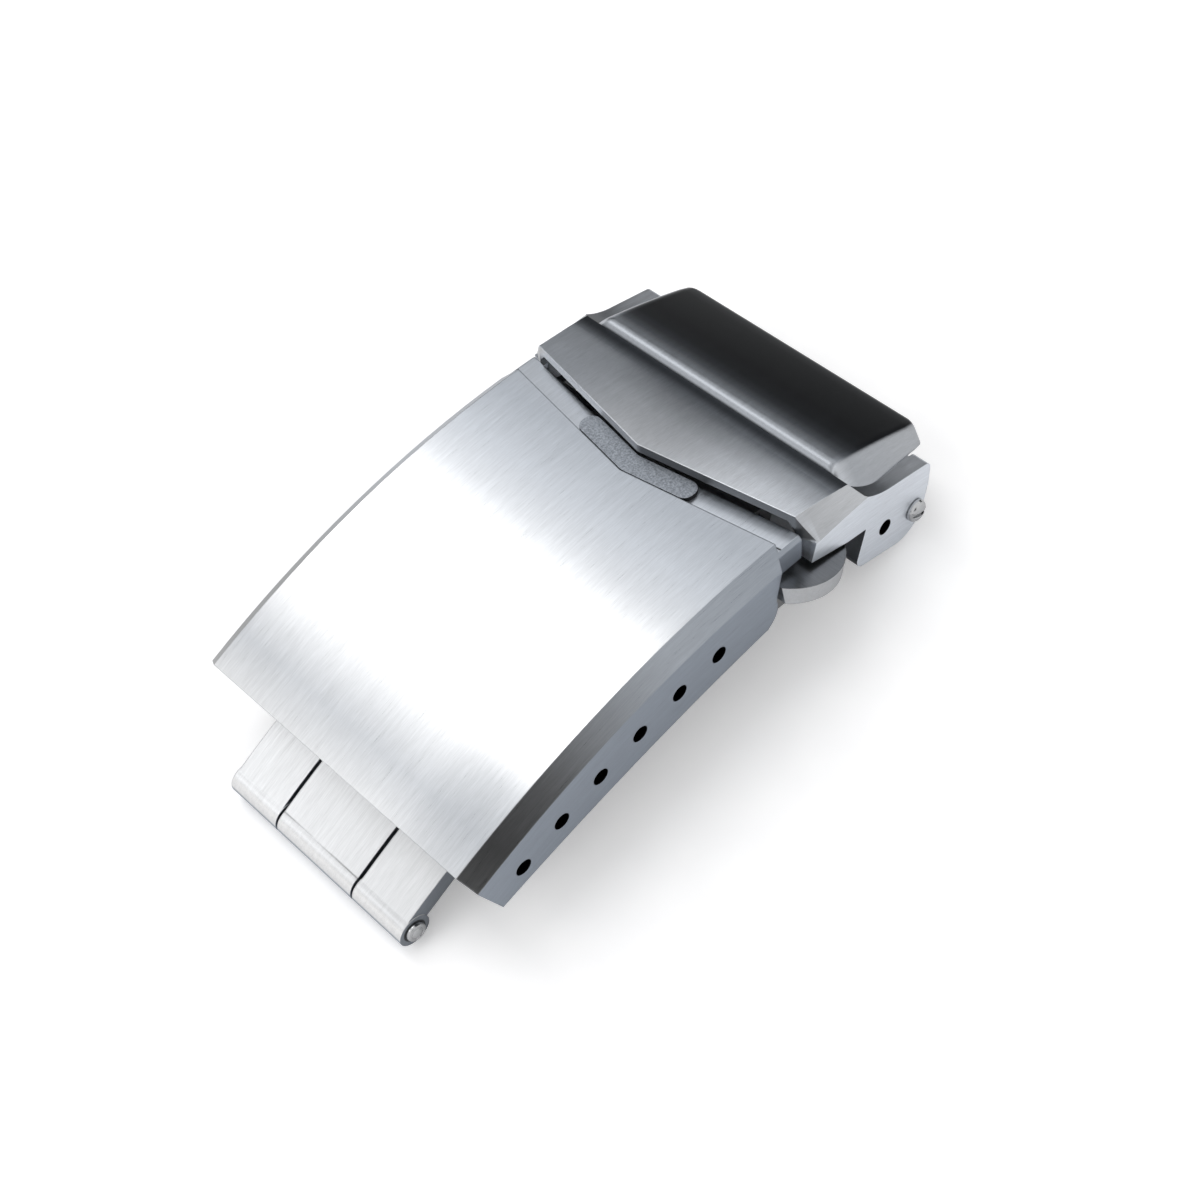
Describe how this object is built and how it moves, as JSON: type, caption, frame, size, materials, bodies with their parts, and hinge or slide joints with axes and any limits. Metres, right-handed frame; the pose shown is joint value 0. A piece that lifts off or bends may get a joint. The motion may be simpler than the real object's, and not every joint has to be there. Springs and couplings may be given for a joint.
{
  "type": "double lock diver clasp",
  "caption": "Arched fold-over watch bracelet clasp with a V-edged cover, micro-adjust holes, side push buttons and a flip lock.",
  "frame": {"origin": "middle of the closed clasp's footprint, on the plane it stands on", "axes": "+X from the cover's outer end towards the bracelet end, +Y across the clasp, +Z away from the wrist"},
  "size_m": [0.0372, 0.0222, 0.0092],
  "materials": {
    "cover_steel": "brushed along the arc",
    "lock_steel": "brushed along the arc",
    "grip_steel": "fine brushed along the arc",
    "blade_steel": "brushed",
    "inner_steel": "stamped, satin",
    "button_steel": "satin",
    "pin_steel": "turned",
    "sanded_steel": "fine blasted",
    "spring_steel": "drawn wire"
  },
  "bodies": {
    "bracelet_end": {"inner_blade": "blade_steel", "blade_hinge_pin": "pin_steel", "end_bracket": "inner_steel", "bracket_rivets": "pin_steel", "button_housing": "inner_steel", "button_spring": "spring_steel", "flip_lock_pivot_left": "pin_steel", "flip_lock_pivot_right": "pin_steel"},
    "left_button": {"push_button_left": "button_steel"},
    "right_button": {"push_button_right": "button_steel"},
    "flip_lock": {"flip_lock_shell": "lock_steel", "flip_lock_grip": "grip_steel"},
    "middle_link": {"middle_blade": "blade_steel"},
    "cover": {"cover_shell": "cover_steel", "lip_detent_bar": "sanded_steel", "cover_hinge_bracket": "inner_steel", "cover_hinge_pin": "pin_steel", "cover_catch_left": "inner_steel", "cover_catch_right": "inner_steel"}
  },
  "joints": [
    {"name": "blade_fold", "type": "hinge", "parent": "bracelet_end", "child": "middle_link", "pos_m": [-0.01771, 0, 0.00093], "axis": [0, -1, 0], "range_deg": [0, 150]},
    {"name": "cover_fold", "type": "hinge", "parent": "middle_link", "child": "cover", "pos_m": [0.00354, 0, 0.00592], "axis": [0, 1, 0], "range_deg": [0, 150]},
    {"name": "flip_lock_pivot", "type": "hinge", "parent": "bracelet_end", "child": "flip_lock", "pos_m": [0.01565, 0, 0.00209], "axis": [0, 1, 0], "range_deg": [0, 125]},
    {"name": "left_button_press", "type": "slide", "parent": "bracelet_end", "child": "left_button", "axis": [0, -1, 0], "range_m": [0, 0.0008], "stiffness_N_per_m": 300, "springref_m": -0.001, "deforming": ["button_spring"]},
    {"name": "right_button_press", "type": "slide", "parent": "bracelet_end", "child": "right_button", "axis": [0, 1, 0], "range_m": [0, 0.0008], "stiffness_N_per_m": 300, "springref_m": -0.001}
  ],
  "couplings": [
    {"joint": "cover_fold", "follows": "blade_fold", "ratio": 1}
  ]
}
